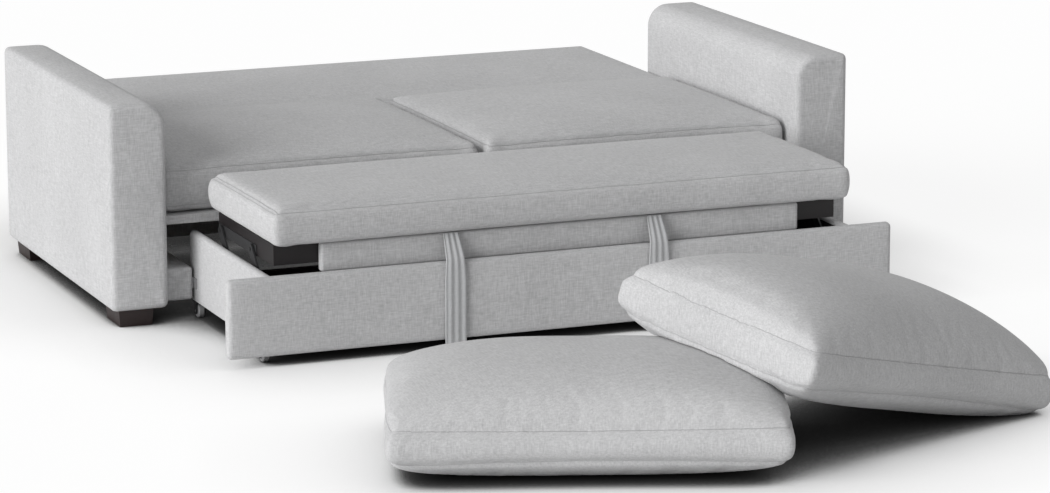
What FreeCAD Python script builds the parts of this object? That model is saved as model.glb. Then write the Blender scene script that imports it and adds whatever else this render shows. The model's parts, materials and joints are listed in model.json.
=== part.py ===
"""Sleeper sofa with a pull-out bed, drawn with the drawer out and the bed raised.

X runs across the sofa, Y from front to back and Z up. While the pieces are drawn,
the arms' front faces lie in the plane Y = 0 and the floor is Z = 0. At the end the
whole sofa is moved along Y, so that its origin is the middle of its footprint.
"""
import FreeCAD, Part
import os
import re
import Sketcher
from FreeCAD import Placement, Rotation, Vector

# Driving dimensions in millimetres and degrees: name, value, meaning
SIZES = (
    ("bay_width", 1930, "clear width between the arms, the width of the bed"),
    ("arm_width", 166, "thickness of an arm"),
    ("arm_depth", 1084, "arm from front to back"),
    ("arm_top", 628, "height of the arm above the floor"),
    ("arm_crown", 66, "radius of the arm's inner top edge"),
    ("arm_edge", 17, "radius of the arm's other edges"),
    ("cover_wall", 18, "padding and fabric over a wooden frame"),
    ("post", 42, "width of a wooden frame post"),
    ("fit_gap", 0.3, "gap where padding closes round wood"),
    ("foot_height", 46, "height of a foot"),
    ("foot_length", 132, "foot from front to back at the top"),
    ("foot_width", 100, "foot across at the top"),
    ("foot_side_inset", 24, "foot to the arm's outer face"),
    ("foot_end_inset", 14, "foot to the arm's front or back face"),
    ("foot_taper", 5, "slope of a foot's faces"),
    ("bolt_radius", 4, "foot bolt"),
    ("bolt_head_radius", 8, "head of a foot bolt"),
    ("bolt_head_height", 6, "head of a foot bolt"),
    ("seat_front", 50, "seat frame behind the arms' front faces"),
    ("seat_base", 273, "underside of the seat frame"),
    ("seat_rail_height", 24, "seat frame rails"),
    ("seat_rail_width", 60, "seat frame rails"),
    ("slat_width", 60, "seat slats"),
    ("slat_height", 18, "seat slats"),
    ("slat_inset", 18, "outer seat slats to the side rails"),
    ("seat_thickness", 136, "seat cushion between its seams"),
    ("seat_crown", 13, "rise of a seat cushion above its seams"),
    ("seat_split", 3, "gap between the seat cushions"),
    ("side_gap", 4, "cushions and back panel to the arms"),
    ("swell", 6, "swell of a cushion's upright sides"),
    ("bracket_leg", 40, "legs of the seat brackets"),
    ("bracket_wall", 3, "steel of the seat brackets"),
    ("back_gap", 16, "seat frame to the back panel"),
    ("back_length", 692, "back panel from front to back as it lies flat"),
    ("back_base", 268, "underside of the flat back panel"),
    ("back_thickness", 150, "back panel"),
    ("back_nose", 45, "radius of the edge that turns past the seat"),
    ("back_edge", 14, "radius of the back panel's other edges"),
    ("hinge_inset", 110, "hinge line ahead of the arms' rear faces"),
    ("hinge_setback", 76, "hinge line behind the back panel's front edge"),
    ("hinge_rise", 78, "hinge line above the back panel's underside"),
    ("hinge_pin", 8, "radius of a hinge pin"),
    ("bush_wall", 3, "wall of a hinge bush"),
    ("turning_gap", 0.3, "radial play of a pin or an axle"),
    ("rear_board_height", 180, "board between the arms at the back"),
    ("board", 18, "thickness of the wooden boards"),
    ("block_width", 85, "runner block on the inside of an arm"),
    ("block_height", 94, "runner block"),
    ("block_base", 53, "underside of a runner block"),
    ("guide_height", 30, "steel guide rail"),
    ("guide_wall", 3, "steel guide rail"),
    ("glide_gap", 0.5, "glide pad to guide rail"),
    ("glide_wall", 4, "glide pad"),
    ("fascia_lap", 20, "drawer front over each arm"),
    ("fascia_front", 580, "drawer front ahead of the arms' front faces"),
    ("fascia_base", 28, "underside of the drawer front"),
    ("fascia_height", 218, "drawer front"),
    ("fascia_board", 18, "wooden board in the drawer front"),
    ("fascia_wall", 16, "padding on the face of the drawer front"),
    ("fascia_edge", 9, "radius of the drawer front's edges"),
    ("drawer_side", 26, "thickness of a drawer side"),
    ("drawer_side_height", 196, "drawer side"),
    ("drawer_rear", 94, "drawer's rear end behind the arms' front faces"),
    ("drawer_floor", 12, "drawer floor"),
    ("drawer_floor_rise", 6, "drawer floor above the drawer sides' lower edges"),
    ("drawer_rail_height", 64, "drawer's rear rail"),
    ("caster_height", 46, "caster from floor to plate"),
    ("caster_width", 28, "caster fork across"),
    ("caster_plate", 3, "steel of a caster fork"),
    ("caster_length", 44, "caster plate from front to back"),
    ("caster_inset", 40, "caster axle to the drawer's front or rear end"),
    ("wheel_radius", 20, "caster wheel"),
    ("wheel_width", 18, "caster wheel"),
    ("axle_radius", 3, "caster axle"),
    ("lift_angle", 45, "slope of the lift arms with the bed raised"),
    ("link_length", 205, "lift arm between its pivots"),
    ("link_width", 30, "lift arm"),
    ("link_wall", 5, "lift arm"),
    ("link_gap", 2.5, "lift arm to the plates beside it"),
    ("stud_radius", 5, "lift pivots"),
    ("pivot_height", 130, "lift arms' lower pivots above the floor"),
    ("front_pivot", 490, "front lower pivots ahead of the arms' front faces"),
    ("pivot_spread", 260, "front to rear lift pivots"),
    ("plate_wall", 2, "pivot plates"),
    ("bed_gap", 4, "bed cushion to the drawer sides"),
    ("bed_rear", 16, "bed cushion's rear edge ahead of the arms' front faces"),
    ("bed_base", 319, "underside of the raised bed cushion"),
    ("bed_thickness", 107, "bed cushion between its seams"),
    ("bed_crown", 10, "rise of the bed cushion above its seam"),
    ("platform_board", 12, "board under the bed cushion"),
    ("platform_rail", 45, "height of the platform's rails"),
    ("platform_inset", 34, "platform board ahead of and behind the cushion's edges"),
    ("apron_inset", 135, "ends of the apron board to the bed cushion's ends"),
    ("apron_wall", 29, "apron board from front to back"),
    ("apron_gap", 3, "apron board to the drawer front, above it and behind it"),
    ("strap_width", 60, "pull strap"),
    ("strap_wall", 2, "one layer of a pull strap"),
    ("strap_left", 339, "middle of the left strap from the sofa's middle"),
    ("strap_right", 263, "middle of the right strap from the sofa's middle"),
    ("strap_end", 12, "lower end of a strap above the floor"),
    ("pillow_length", 943, "loose cushion along its seams"),
    ("pillow_depth", 620, "loose cushion along its seams"),
    ("pillow_box", 78, "loose cushion's side strip"),
    ("pillow_crown", 122, "rise of a loose cushion's upper face"),
    ("pillow_sag", 62, "fall of a loose cushion's lower face"),
    ("pillow_swell", 12, "swell of a loose cushion's side strip"),
    ("pillow_rest", 0.5, "depth of the flat that a loose cushion rests on"),
    ("flat_pillow_x", -444, "middle of the flat loose cushion"),
    ("flat_pillow_y", -1712, "middle of the flat loose cushion"),
    ("flat_pillow_turn", -20.2, "flat loose cushion, turned about Z"),
    ("lean_pillow_x", 262, "middle of the leaning loose cushion"),
    ("lean_pillow_y", -1676, "middle of the leaning loose cushion"),
    ("lean_pillow_z", 192.3, "middle of the leaning loose cushion"),
    ("lean_pillow_turn", 23.1, "leaning loose cushion, turned about Z"),
    ("lean_pillow_dip", 13.66, "leaning loose cushion, right end down"),
    ("lean_pillow_roll", 8.4, "leaning loose cushion, rear edge up"),
    ("origin_y", 0, "middle of the footprint, measured at the end"),
)

doc = FreeCAD.newDocument("SleeperSofa")
sheet = doc.addObject("Spreadsheet::Sheet", "Size")
cells = {}
for row, (alias, value, meaning) in enumerate(SIZES, start=1):
    sheet.set(f"A{row}", meaning)
    sheet.set(f"B{row}", str(value))
    sheet.setAlias(f"B{row}", alias)
    cells[alias] = f"B{row}"
doc.recompute()

SIDES = (("left", -1), ("right", 1))
HINGE_Y = "(arm_depth - hinge_inset)"
BACK_FRONT = f"({HINGE_Y} - hinge_setback)"
SEAT_REAR = f"({BACK_FRONT} - back_gap)"
SEAT_DEPTH = f"({SEAT_REAR} - seat_front)"
subparts = []
homes = {}


def formula(text):
    """The text with each size's name pointed at the sheet."""
    return re.sub(r"[a-z]\w*", lambda word: "Size." + word[0] if word[0] in cells else word[0], text)


def number(text):
    """What a formula gives now."""
    value = sheet.evalExpression(formula(text))
    return float(getattr(value, "Value", value))


def bind(thing, prop, text):
    thing.setExpression(prop, formula(text))


def place(thing, x="0", y="0", z="0"):
    """Bind where a piece stands."""
    homes[thing.Name] = y
    for axis, text in zip("xyz", (x, y, z)):
        bind(thing, f"Placement.Base.{axis}", text)
    return thing


def finish(thing, label):
    """Count a piece among the sofa's own."""
    thing.Label = label
    subparts.append(thing)
    return thing


def mirrored(sign, inner, width):
    """Lower X of something that starts at inner on the right or on the left side."""
    return inner if sign > 0 else f"-({inner}) - ({width})"


# Plain pieces and the ways to join them

def block(name, corner, lengths):
    box = doc.addObject("Part::Box", name)
    for prop, text in zip(("Length", "Width", "Height"), lengths):
        bind(box, prop, text)
    return place(box, *corner)


def rod(name, start, radius, length):
    """A round bar along X."""
    bar = doc.addObject("Part::Cylinder", name)
    bind(bar, "Radius", radius)
    bind(bar, "Height", length)
    bar.Placement = Placement(Vector(), Rotation(Vector(0, 1, 0), 90))
    return place(bar, *start)


def upright_rod(name, start, radius, length):
    bar = doc.addObject("Part::Cylinder", name)
    bind(bar, "Radius", radius)
    bind(bar, "Height", length)
    return place(bar, *start)


def joined(name, pieces):
    whole = doc.addObject("Part::MultiFuse", name)
    whole.Shapes = pieces
    whole.Refine = True
    return place(whole)


def without(name, base, tools):
    left = doc.addObject("Part::Cut", name)
    left.Base = base
    left.Tool = tools[0] if len(tools) == 1 else joined(name + "_tools", tools)
    return place(left)


def group(label, pieces):
    """Alike pieces that share one node."""
    whole = doc.addObject("Part::Compound", label)
    whole.Links = pieces
    return finish(place(whole), label)


# Sketched pieces

def sketch_on(body, plane, name):
    sketch = body.newObject("Sketcher::SketchObject", name)
    support = [f for f in body.Origin.OriginFeatures if f.Role == plane]
    sketch.AttachmentSupport = [(support[0], "")]
    sketch.MapMode = "FlatFace"
    return sketch


def outline(sketch, points):
    """A closed outline whose corners are held by formulas; none of them is negative."""
    corners = [Vector(number(u), number(v), 0) for u, v in points]
    for index, corner in enumerate(corners):
        sketch.addGeometry(Part.LineSegment(corner, corners[(index + 1) % len(corners)]))
    for index, (u, v) in enumerate(points):
        sketch.addConstraint(Sketcher.Constraint("Coincident", index, 2, (index + 1) % len(points), 1))
        for kind, axis, text in (("DistanceX", -2, u), ("DistanceY", -1, v)):
            if text == "0":
                sketch.addConstraint(Sketcher.Constraint("PointOnObject", index, 1, axis))
                continue
            held = sketch.addConstraint(Sketcher.Constraint(kind, -1, 1, index, 1, number(text)))
            bind(sketch, f"Constraints[{held}]", text)


def rectangle(sketch, low, high):
    outline(sketch, ((low[0], low[1]), (high[0], low[1]), (high[0], high[1]), (low[0], high[1])))


def pad(body, sketch, length, reverse=False):
    feature = body.newObject("PartDesign::Pad", "Pad")
    feature.Profile = sketch
    feature.Reversed = reverse
    bind(feature, "Length", length)
    doc.recompute()
    return feature


def pocket(body, sketch, length, reverse=False):
    """A pocket that must take something away."""
    before = body.Shape.Volume
    feature = body.newObject("PartDesign::Pocket", "Pocket")
    feature.Profile = sketch
    feature.Reversed = reverse
    bind(feature, "Length", length)
    doc.recompute()
    if body.Shape.Volume > before - 1:
        raise RuntimeError(f"{body.Label}: a pocket cuts nothing")
    return feature


def rounded(body, radius, wanted):
    """Fillet the edges whose direction and middle are wanted."""
    base = body.Tip
    shape = base.Shape
    names = []
    for index, edge in enumerate(shape.Edges, start=1):
        run = edge.Vertexes[-1].Point - edge.Vertexes[0].Point
        if run.Length < 1:
            continue
        if wanted(run.normalize(), edge.CenterOfMass, shape.BoundBox):
            names.append(f"Edge{index}")
    fillet = body.newObject("PartDesign::Fillet", "Fillet")
    fillet.Base = (base, names)
    bind(fillet, "Radius", radius)
    doc.recompute()
    return fillet


def near(one, other):
    return abs(one - other) < 0.01


def slab(label, corner, lengths):
    """A sketched block, ready for fillets and pockets."""
    body = doc.addObject("PartDesign::Body", label)
    plan = sketch_on(body, "XY_Plane", "Plan")
    rectangle(plan, ("0", "0"), lengths[:2])
    pad(body, plan, lengths[2])
    return finish(place(body, *corner), label)


def hollow_below(body, lengths, wall, depth):
    """Open the underside of a padded cover for its frame."""
    inside = sketch_on(body, "XY_Plane", "Inside")
    rectangle(inside, (wall, wall), (f"{lengths[0]} - {wall}", f"{lengths[1]} - {wall}"))
    pocket(body, inside, depth, reverse=True)


# Arms: a padded cover over a wooden frame, on two feet

def make_arm(side, sign):
    lengths = ("arm_width", "arm_depth", "arm_top - foot_height")
    corner = (mirrored(sign, "bay_width / 2", "arm_width"), "0", "foot_height")
    cover = slab(f"arm_cover_{side}", corner, lengths)
    inner = 0 if sign > 0 else number("arm_width")

    def is_crown(run, middle, box):
        return abs(run.y) > 0.9 and near(middle.x, inner) and near(middle.z, box.ZMax)

    def is_edge(run, middle, box):
        upright = abs(run.z) > 0.9
        outer_top = abs(run.y) > 0.9 and near(middle.z, box.ZMax)
        end_top = abs(run.x) > 0.9 and near(middle.z, box.ZMax)
        return upright or outer_top or end_top

    rounded(cover, "arm_crown", is_crown)
    rounded(cover, "arm_edge",
            lambda run, middle, box: is_edge(run, middle, box) or is_crown_end(run, middle, box))
    hollow_below(cover, lengths, "cover_wall", "arm_top - foot_height - arm_crown")
    make_arm_frame(side, sign)


def is_crown_end(run, middle, box):
    """The curved ends of the crown, on the arm's front and back faces."""
    on_end = near(middle.y, box.YMin) or near(middle.y, box.YMax)
    return on_end and abs(run.x) > 0.3 and abs(run.z) > 0.3


def make_arm_frame(side, sign):
    """A base board, four posts and a top rail."""
    wide = "(arm_width - 2 * cover_wall - 2 * fit_gap)"
    deep = "(arm_depth - 2 * cover_wall - 2 * fit_gap)"
    low_x = mirrored(sign, "bay_width / 2 + cover_wall + fit_gap", wide)
    low_y = "cover_wall + fit_gap"
    top = "(arm_top - foot_height - arm_crown - fit_gap)"
    pieces = [
        block(f"arm_base_{side}", (low_x, low_y, "foot_height"), (wide, deep, "board")),
        block(f"arm_rail_{side}", (low_x, low_y, f"foot_height + {top} - board"), (wide, deep, "board")),
    ]
    for count in range(4):
        step = f"{low_y} + {count} * ({deep} - post) / 3"
        pieces.append(block(f"arm_post_{side}_{count}", (low_x, step, "foot_height"), (wide, "post", top)))
    wood = joined(f"arm_wood_{side}", pieces)
    hinge_hole = rod(f"arm_hinge_hole_{side}", hinge_start(sign, "0"), "hinge_pin + fit_gap / 2",
                     "arm_width - cover_wall")
    bolts = [
        upright_rod(f"arm_bolt_hole_{side}_{end}", (foot_middle_x(sign), foot_middle_y(end), "foot_height"),
                    "bolt_radius + fit_gap / 2", "board")
        for end in ("front", "rear")
    ]
    finish(without(f"arm_frame_{side}", wood, [hinge_hole] + bolts), f"arm_frame_{side}")


def foot_middle_x(sign):
    middle = "(bay_width / 2 + arm_width - foot_side_inset - foot_width / 2)"
    return middle if sign > 0 else f"-{middle}"


def foot_middle_y(end):
    if end == "front":
        return "foot_end_inset + foot_length / 2"
    return "arm_depth - foot_end_inset - foot_length / 2"


def make_foot(side, sign, end):
    """A block that narrows downwards, bored for its bolt."""
    label = f"foot_{end}_{side}"
    body = doc.addObject("PartDesign::Body", label)
    plan = sketch_on(body, "XY_Plane", "Plan")
    rectangle(plan, ("0", "0"), ("foot_width", "foot_length"))
    block_pad = pad(body, plan, "foot_height", reverse=True)
    bind(block_pad, "TaperAngle", "-foot_taper")
    bore = sketch_on(body, "XY_Plane", "Bore")
    circle(bore, "foot_width / 2", "foot_length / 2", "bolt_radius + fit_gap / 2")
    pocket(body, bore, "foot_height")
    seat = sketch_on(body, "XY_Plane", "HeadSeat")
    seat.AttachmentOffset = Placement(Vector(0, 0, -number("foot_height")), Rotation())
    bind(seat, "AttachmentOffset.Base.z", "-foot_height")
    circle(seat, "foot_width / 2", "foot_length / 2", "bolt_head_radius + fit_gap")
    pocket(body, seat, "bolt_head_height * 2", reverse=True)
    place(body, f"{foot_middle_x(sign)} - foot_width / 2", f"{foot_middle_y(end)} - foot_length / 2",
          "foot_height")
    finish(body, label)


def circle(sketch, x, y, radius):
    """A circle held by formulas."""
    middle = Vector(number(x), number(y), 0)
    ring = sketch.addGeometry(Part.Circle(middle, Vector(0, 0, 1), number(radius)))
    for kind, text in (("DistanceX", x), ("DistanceY", y)):
        held = sketch.addConstraint(Sketcher.Constraint(kind, -1, 1, ring, 3, number(text)))
        bind(sketch, f"Constraints[{held}]", text)
    held = sketch.addConstraint(Sketcher.Constraint("Radius", ring, number(radius)))
    bind(sketch, f"Constraints[{held}]", radius)


def make_foot_bolts():
    """One bolt up through each foot into the arm's base board."""
    bolts = []
    for side, sign in SIDES:
        for end in ("front", "rear"):
            where = (foot_middle_x(sign), foot_middle_y(end))
            head = upright_rod(f"bolt_head_{end}_{side}", (*where, "bolt_head_height"), "bolt_head_radius",
                               "bolt_head_height")
            shank = upright_rod(f"bolt_shank_{end}_{side}", (*where, "bolt_head_height"), "bolt_radius",
                                "foot_height - bolt_head_height + board")
            bolts.append(joined(f"bolt_{end}_{side}", [head, shank]))
    group("foot_bolts", bolts)


# Seat: four rails, slats and brackets under two cushions

def make_seat():
    rail = ("seat_rail_width", "seat_rail_height")
    inner = f"({SEAT_DEPTH} - 2 * seat_rail_width)"
    wide = "(bay_width - 2 * fit_gap)"
    starts = (("seat_front_rail", "seat_front"), ("seat_rear_rail", f"{SEAT_REAR} - seat_rail_width"))
    for label, start in starts:
        finish(block(label, (f"-{wide} / 2", start, "seat_base"), (wide, *rail)), label)
    for side, sign in SIDES:
        label = f"seat_side_rail_{side}"
        corner = (mirrored(sign, f"{wide} / 2 - seat_rail_width", rail[0]), "seat_front + seat_rail_width",
                  "seat_base")
        finish(block(label, corner, (rail[0], inner, rail[1])), label)
    slats = []
    pitch = f"(({wide} - slat_width) / 2 - seat_rail_width - slat_inset) / 4"
    for count in range(-4, 5):
        corner = (f"{count} * {pitch} - slat_width / 2", "seat_front + seat_rail_width",
                  "seat_base + seat_rail_height - slat_height")
        slats.append(block(f"slat_{count + 4}", corner, ("slat_width", inner, "slat_height")))
    group("seat_slats", slats)
    make_seat_brackets(wide)


def make_seat_brackets(wide):
    """Steel angles under the side rails, three to an arm."""
    angles = []
    for side, sign in SIDES:
        for count in range(3):
            run = f"({SEAT_DEPTH} - 2 * seat_rail_width - bracket_leg)"
            y = f"seat_front + seat_rail_width + {count} * {run} / 2"
            flat_x = mirrored(sign, f"{wide} / 2 - bracket_leg", "bracket_leg")
            wall_x = mirrored(sign, f"{wide} / 2 - bracket_wall", "bracket_wall")
            flat = block(f"angle_flat_{side}_{count}", (flat_x, y, "seat_base - bracket_wall"),
                         ("bracket_leg", "bracket_leg", "bracket_wall"))
            wall = block(f"angle_wall_{side}_{count}", (wall_x, y, "seat_base - bracket_leg"),
                         ("bracket_wall", "bracket_leg", "bracket_leg"))
            angles.append(joined(f"angle_{side}_{count}", [flat, wall]))
    group("seat_brackets", angles)


# Cushions: sections of lines and arcs, one behind the other along X

END_CROWN = 0.08


def cushion_section(x, front, rear, low, high, swell, rise, fall):
    """One closed section: swollen sides, a crowned top and a flat or hanging underside."""
    corners = [Vector(x, front, low), Vector(x, front, high), Vector(x, rear, high), Vector(x, rear, low)]
    middle = (front + rear) / 2
    edges = [
        Part.Arc(corners[0], Vector(x, front - swell, (low + high) / 2), corners[1]).toShape(),
        Part.Arc(corners[1], Vector(x, middle, high + rise), corners[2]).toShape(),
        Part.Arc(corners[2], Vector(x, rear + swell, (low + high) / 2), corners[3]).toShape(),
    ]
    if fall:
        edges.append(Part.Arc(corners[3], Vector(x, middle, low - fall), corners[0]).toShape())
    else:
        edges.append(Part.LineSegment(corners[3], corners[0]).toShape())
    return Part.Wire(edges)


def cushion(half_length, front, rear, low, high, swell, crown, drawn=5, sag=0):
    """A cushion about X = 0, highest and drawn in at its middle, lower at its ends."""
    wires = []
    for along in (-1, -0.85, -0.5, 0, 0.5, 0.85, 1):
        height = max(1 - abs(along) ** 3, END_CROWN)
        pull = drawn * (1 - along ** 2)
        wires.append(cushion_section(along * half_length, front + pull, rear - pull, low, high,
                                     swell, crown * height, sag * height))
    return Part.makeLoft(wires, True, False)


def soft_part(label, shape, where=("0", "0", "0"), turn=Rotation()):
    """A soft piece whose shape is drawn from the sheet's values, about its own middle."""
    feature = doc.addObject("Part::Feature", label)
    feature.Shape = shape
    feature.Placement = Placement(Vector(), turn)
    return finish(place(feature, *where), label)


def make_seat_cushions():
    low = number("seat_base + seat_rail_height + fit_gap")
    half = number("(bay_width / 2 - side_gap - seat_split / 2) / 2")
    for side, sign in SIDES:
        front = number("seat_front + swell")
        rear = number(f"{SEAT_REAR} - swell")
        shape = cushion(half, front, rear, low, low + number("seat_thickness"), number("swell"),
                        number("seat_crown"))
        middle = "(bay_width / 2 - side_gap + seat_split / 2) / 2"
        soft_part(f"seat_cushion_{side}", shape, (middle if sign > 0 else f"-{middle}", "0", "0"))


# Back panel: a padded cover over a ladder frame, turning on two pins

def hinge_start(sign, inward):
    """Where a pin along X starts, at the arm's inner face or further in."""
    x = f"bay_width / 2 - {inward}" if sign > 0 else f"-(bay_width / 2 + arm_width - cover_wall)"
    return (x, HINGE_Y, "back_base + hinge_rise")


def make_back():
    wide = "(bay_width - 2 * side_gap)"
    front = BACK_FRONT
    lengths = (wide, "back_length", "back_thickness")
    cover = slab("back_cover", (f"-{wide} / 2", front, "back_base"), lengths)

    def is_nose(run, middle, box):
        return abs(run.x) > 0.9 and near(middle.y, box.YMin)

    def is_edge(run, middle, box):
        at_rear = near(middle.y, box.YMax)
        on_top = near(middle.z, box.ZMax)
        upright_rear = abs(run.z) > 0.9 and at_rear
        return upright_rear or (abs(run.x) > 0.9 and at_rear) or (abs(run.y) > 0.9 and on_top)

    rounded(cover, "back_nose", is_nose)
    rounded(cover, "back_edge", is_edge)
    inside = sketch_on(cover, "XY_Plane", "Inside")
    rectangle(inside, ("cover_wall", "back_nose"), (f"{wide} - cover_wall", "back_length - cover_wall"))
    pocket(cover, inside, "back_thickness - cover_wall", reverse=True)
    bores = sketch_on(cover, "YZ_Plane", "PinBore")
    circle(bores, "hinge_setback", "hinge_rise", "hinge_pin + bush_wall + fit_gap")
    pocket(cover, bores, wide, reverse=True)
    make_back_frame(wide, front)


def make_back_frame(wide, front):
    """Two long rails and nine rungs, with a bush for the hinge pin at each end."""
    inner = f"({wide} - 2 * cover_wall - 2 * fit_gap)"
    deep = "(back_length - back_nose - cover_wall - 2 * fit_gap)"
    high = "(back_thickness - cover_wall - fit_gap)"
    low_y = f"{front} + back_nose + fit_gap"
    pieces = []
    for count in range(9):
        x = f"-{inner} / 2 + {count} * ({inner} - post) / 8"
        pieces.append(block(f"back_rung_{count}", (x, low_y, "back_base"), ("post", deep, high)))
    for name, y in (("front", low_y), ("rear", f"{low_y} + {deep} - post")):
        pieces.append(block(f"back_rail_{name}", (f"-{inner} / 2", y, "back_base"), (inner, "post", high)))
    wood = joined("back_wood", pieces)
    x, y, z = hinge_start(-1, "0")
    hole = rod("back_pin_hole", (f"-{wide} / 2", y, z), "hinge_pin + bush_wall + fit_gap / 3", wide)
    finish(without("back_frame", wood, [hole]), "back_frame")
    bushes = []
    for side, sign in SIDES:
        start = (mirrored(sign, f"{wide} / 2 - cover_wall - post", "cover_wall + post"), y, z)
        outer = rod(f"bush_outer_{side}", start, "hinge_pin + bush_wall", "cover_wall + post")
        bore = rod(f"bush_bore_{side}", start, "hinge_pin + turning_gap", "cover_wall + post")
        bushes.append(without(f"bush_{side}", outer, [bore]))
    group("hinge_bushes", bushes)


def make_hinge_pins():
    """Steel pins from the arms' posts into the back panel's bushes, and the ledges it lies on."""
    pins = []
    ledges = []
    reach = "(side_gap + cover_wall + post)"
    for side, sign in SIDES:
        x, y, z = hinge_start(sign, reach)
        pins.append(rod(f"pin_{side}", (x, y, z), "hinge_pin", f"arm_width - cover_wall + {reach}"))
        ledge_x = mirrored(sign, "bay_width / 2 - bracket_leg", "bracket_leg")
        wall_x = mirrored(sign, "bay_width / 2 - bracket_wall", "bracket_wall")
        ledge_y = "arm_depth - bracket_leg - side_gap"
        flat = block(f"ledge_flat_{side}", (ledge_x, ledge_y, "back_base - fit_gap - bracket_wall"),
                     ("bracket_leg", "bracket_leg", "bracket_wall"))
        wall = block(f"ledge_wall_{side}", (wall_x, ledge_y, "back_base - fit_gap - bracket_leg"),
                     ("bracket_wall", "bracket_leg", "bracket_leg"))
        ledges.append(joined(f"ledge_{side}", [flat, wall]))
    for (side, sign), pin in zip(SIDES, pins):
        finish(pin, f"hinge_pin_{side}")
    group("back_ledges", ledges)


def bore_arm_for_pin(side, sign):
    """The hole in an arm's cover that its hinge pin passes through."""
    cover = doc.getObject(f"arm_cover_{side}")
    hole = sketch_on(cover, "YZ_Plane", "PinHole")
    circle(hole, HINGE_Y, "back_base + hinge_rise - foot_height",
           "hinge_pin + fit_gap")
    if sign < 0:
        hole.AttachmentOffset = Placement(Vector(0, 0, number("arm_width")), Rotation())
        bind(hole, "AttachmentOffset.Base.z", "arm_width")
    pocket(cover, hole, "2 * cover_wall", reverse=sign > 0)


def make_rear_board():
    corner = ("-bay_width / 2", BACK_FRONT, "foot_height")
    finish(block("rear_board", corner, ("bay_width", "board", "rear_board_height")), "rear_board")


# Runners: a block on each arm with a steel guide, and glide pads on the drawer

def make_runner(side, sign):
    corner = (mirrored(sign, "bay_width / 2 - block_width", "block_width"), "seat_front", "block_base")
    long = f"({SEAT_DEPTH} - board)"
    wood = slab(f"runner_block_{side}", corner, ("block_width", long, "block_height"))
    rounded(wood, "fascia_edge",
            lambda run, middle, box: abs(run.z) > 0.9 or near(middle.z, box.ZMax) and abs(run.y) > 0.9)
    guide_x = mirrored(sign, "bay_width / 2 - block_width - guide_wall", "guide_wall")
    guide_y = "seat_front + fascia_edge"
    label = f"guide_rail_{side}"
    rail = block(label, (guide_x, guide_y, "block_base + (block_height - guide_height) / 2"),
                 ("guide_wall", f"{long} - 2 * fascia_edge", "guide_height"))
    finish(rail, label)


DRAWER_OUT = "(bay_width / 2 - block_width - guide_wall - glide_gap - glide_wall)"
DRAWER_IN = f"({DRAWER_OUT} - drawer_side)"
BOARD_FRONT = "(fascia_wall - fascia_front)"
SIDE_FRONT = f"({BOARD_FRONT} + fascia_board)"


def make_drawer():
    make_drawer_front()
    long = f"(drawer_rear - {SIDE_FRONT})"
    floor_z = "caster_height + drawer_floor_rise"
    pads = []
    for side, sign in SIDES:
        label = f"drawer_side_{side}"
        wood = slab(label, (mirrored(sign, DRAWER_IN, "drawer_side"), SIDE_FRONT, "caster_height"),
                    ("drawer_side", long, "drawer_side_height"))
        rounded(wood, "drawer_side / 5",
                lambda run, middle, box: abs(run.y) > 0.9 and near(middle.z, box.ZMax))
        pad_corner = (mirrored(sign, DRAWER_OUT, "glide_wall"), "drawer_rear - 2 * guide_height",
                      "block_base + (block_height - guide_height) / 2")
        pads.append(block(f"glide_{side}", pad_corner, ("glide_wall", "guide_height", "guide_height")))
    group("glide_pads", pads)
    inner = f"(2 * {DRAWER_IN})"
    lengths = (inner, f"{long} - board", "drawer_floor")
    finish(block("drawer_floor", (f"-{DRAWER_IN}", SIDE_FRONT, floor_z), lengths), "drawer_floor")
    finish(block("drawer_rear_rail", (f"-{DRAWER_IN}", "drawer_rear - board", "caster_height"),
                 (inner, "board", "drawer_rail_height")), "drawer_rear_rail")


def make_drawer_front():
    """A wooden board, and the padding and fabric that wrap round its edges."""
    wide = "(bay_width + 2 * fascia_lap)"
    deep = "(fascia_wall + fascia_board)"
    cover = slab("drawer_front_cover", (f"-{wide} / 2", "-fascia_front", "fascia_base"),
                 (wide, deep, "fascia_height"))
    rounded(cover, "fascia_edge",
            lambda run, middle, box: near(middle.y, box.YMin)
            or near(middle.z, box.ZMax) and abs(run.x) > 0.9)
    recess = sketch_on(cover, "XZ_Plane", "Recess")
    recess.AttachmentOffset = Placement(Vector(0, 0, -number(deep)), Rotation())
    bind(recess, "AttachmentOffset.Base.z", f"-{deep}")
    rectangle(recess, ("fascia_wall", "fascia_wall"),
              (f"{wide} - fascia_wall", "fascia_height - fascia_wall"))
    pocket(cover, recess, "fascia_board", reverse=True)
    corner = (f"-{wide} / 2 + fascia_wall + fit_gap", BOARD_FRONT, "fascia_base + fascia_wall + fit_gap")
    size = (f"{wide} - 2 * fascia_wall - 2 * fit_gap", "fascia_board",
            "fascia_height - 2 * fascia_wall - 2 * fit_gap")
    finish(block("drawer_front_board", corner, size), "drawer_front_board")


# Casters: a pressed fork under each end of each drawer side, a wheel and its axle

def make_casters():
    axles = []
    forks = []
    for end, y in (("front", f"({SIDE_FRONT} + caster_inset)"), ("rear", "(drawer_rear - caster_inset)")):
        for side, sign in SIDES:
            x = f"({DRAWER_IN} + drawer_side / 2)" if sign > 0 else f"(-{DRAWER_IN} - drawer_side / 2)"
            name = f"{end}_{side}"
            forks.append(make_caster_fork(name, x, y))
            make_caster_wheel(name, x, y)
            axles.append(rod(f"axle_{name}", (f"{x} - caster_width / 2", y, "wheel_radius"), "axle_radius",
                             "caster_width"))
    group("caster_forks", forks)
    group("caster_axles", axles)


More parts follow.
